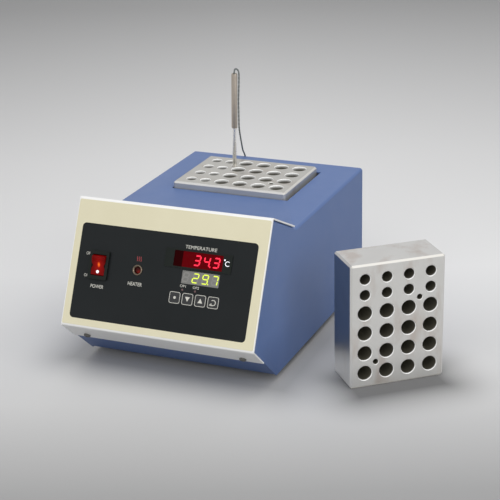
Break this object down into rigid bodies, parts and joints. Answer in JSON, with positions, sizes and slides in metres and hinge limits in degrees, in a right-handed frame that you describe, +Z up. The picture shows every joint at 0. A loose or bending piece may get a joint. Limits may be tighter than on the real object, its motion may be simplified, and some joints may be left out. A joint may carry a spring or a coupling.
{
  "type": "dry block heater",
  "caption": "Benchtop dry block heater with a leaning control panel, a lift-out aluminium tube block, a temperature probe on a thin lead and a loose second block.",
  "frame": {"origin": "on the bench, at the middle of the footprint of the whole set: the heater and the loose block beside it", "axes": "+X to the right seen from the control panel, +Y from the control panel to the rear, +Z up"},
  "size_m": [0.2621, 0.2495, 0.1915],
  "materials": {
    "powder_blue": "fine satin powder coat",
    "white_powder": "satin powder coat",
    "film": "printed polyester film, cream round a charcoal field",
    "black_plastic": "moulded, fine satin",
    "brass": "satin",
    "red_lens": "clear red moulding, lit from behind",
    "chrome": "plated",
    "grey_display": "grey display face with lit segments",
    "led": "clear",
    "steel": "satin stainless or zinc plated",
    "black_steel": "blackened",
    "board": "solder-masked laminate",
    "machined": "machined, bare",
    "well_aluminium": "milled or extruded, bare",
    "heater": "silicone mat",
    "wool": "pressed ceramic fibre",
    "lead": "thin grey jacket",
    "rubber": "matt",
    "glass_fuse": "glass tube with nickel caps",
    "iron": "laminated core and wound bobbin",
    "cream_plastic": "moulded"
  },
  "bodies": {
    "cabinet": {"cover": "powder_blue", "base_tray": "powder_blue", "rear_panel": "powder_blue", "front_panel": "white_powder", "panel_film": "film", "switch_housing": "black_plastic", "switch_terminals": "brass", "lamp_bezel": "chrome", "lamp_lens": "red_lens", "lamp_nut": "steel", "display_frame": "black_plastic", "red_window": "red_lens", "red_display": "black_plastic", "green_display": "grey_display", "status_leds": "led", "controller_board": "board", "board_pillars": "brass", "board_screws": "steel", "key_switches": "black_plastic", "well_box": "well_aluminium", "heater_pad": "heater", "heater_clamp": "steel", "clamp_screws": "steel", "thermal_cutout": "black_plastic", "well_sensor": "steel", "well_brackets": "steel", "well_screws": "steel", "bracket_screws": "steel", "tray_nuts": "steel", "insulation_jacket": "wool", "insulation_pad": "wool", "lead_lower": "lead", "lead_grommet": "rubber", "mains_inlet": "black_plastic", "inlet_pins": "brass", "inlet_screws": "steel", "heatsink": "well_aluminium", "solid_state_relay": "black_plastic", "transformer": "iron", "terminal_block": "cream_plastic", "earth_stud": "brass", "feet": "rubber", "foot_screws": "steel", "cover_screws": "steel", "panel_screws": "black_steel", "rear_screws": "steel"},
    "rocker": {"rocker": "red_lens"},
    "set_key": {"key_set": "black_plastic"},
    "down_key": {"key_down": "black_plastic"},
    "up_key": {"key_up": "black_plastic"},
    "cycle_key": {"key_cycle": "black_plastic"},
    "tube_block": {"heating_block": "machined", "lead_upper": "lead"},
    "probe": {"probe_stem": "steel", "probe_handle": "steel"},
    "loose_block": {"spare_block": "machined"},
    "fuse_carrier": {"fuse_drawer": "black_plastic", "fuse_link": "glass_fuse"}
  },
  "joints": [
    {"name": "power_rocker", "type": "hinge", "parent": "cabinet", "child": "rocker", "pos_m": [-0.10722, -0.10031, 0.08298], "axis": [1, 0, 0], "range_deg": [-20, 0]},
    {"name": "set_key_press", "type": "slide", "parent": "cabinet", "child": "set_key", "axis": [0, 0.9026, -0.4305], "range_m": [0, 0.0004], "stiffness_N_per_m": 400},
    {"name": "down_key_press", "type": "slide", "parent": "cabinet", "child": "down_key", "axis": [0, 0.9026, -0.4305], "range_m": [0, 0.0004], "stiffness_N_per_m": 400},
    {"name": "up_key_press", "type": "slide", "parent": "cabinet", "child": "up_key", "axis": [0, 0.9026, -0.4305], "range_m": [0, 0.0004], "stiffness_N_per_m": 400},
    {"name": "cycle_key_press", "type": "slide", "parent": "cabinet", "child": "cycle_key", "axis": [0, 0.9026, -0.4305], "range_m": [0, 0.0004], "stiffness_N_per_m": 400},
    {"name": "block_lift", "type": "slide", "parent": "cabinet", "child": "tube_block", "axis": [0, 0, 1], "range_m": [0, 0.05], "deforming": ["lead_lower"]},
    {"name": "probe_lift", "type": "slide", "parent": "tube_block", "child": "probe", "axis": [0.0244, 0, 0.9997], "range_m": [0, 0.06], "deforming": ["lead_upper"]},
    {"name": "loose_block_lift", "type": "slide", "parent": "cabinet", "child": "loose_block", "axis": [0, 0, 1], "range_m": [0, 0.06]},
    {"name": "fuse_drawer_slide", "type": "slide", "parent": "cabinet", "child": "fuse_carrier", "axis": [0, 1, 0], "range_m": [0, 0.02]}
  ]
}
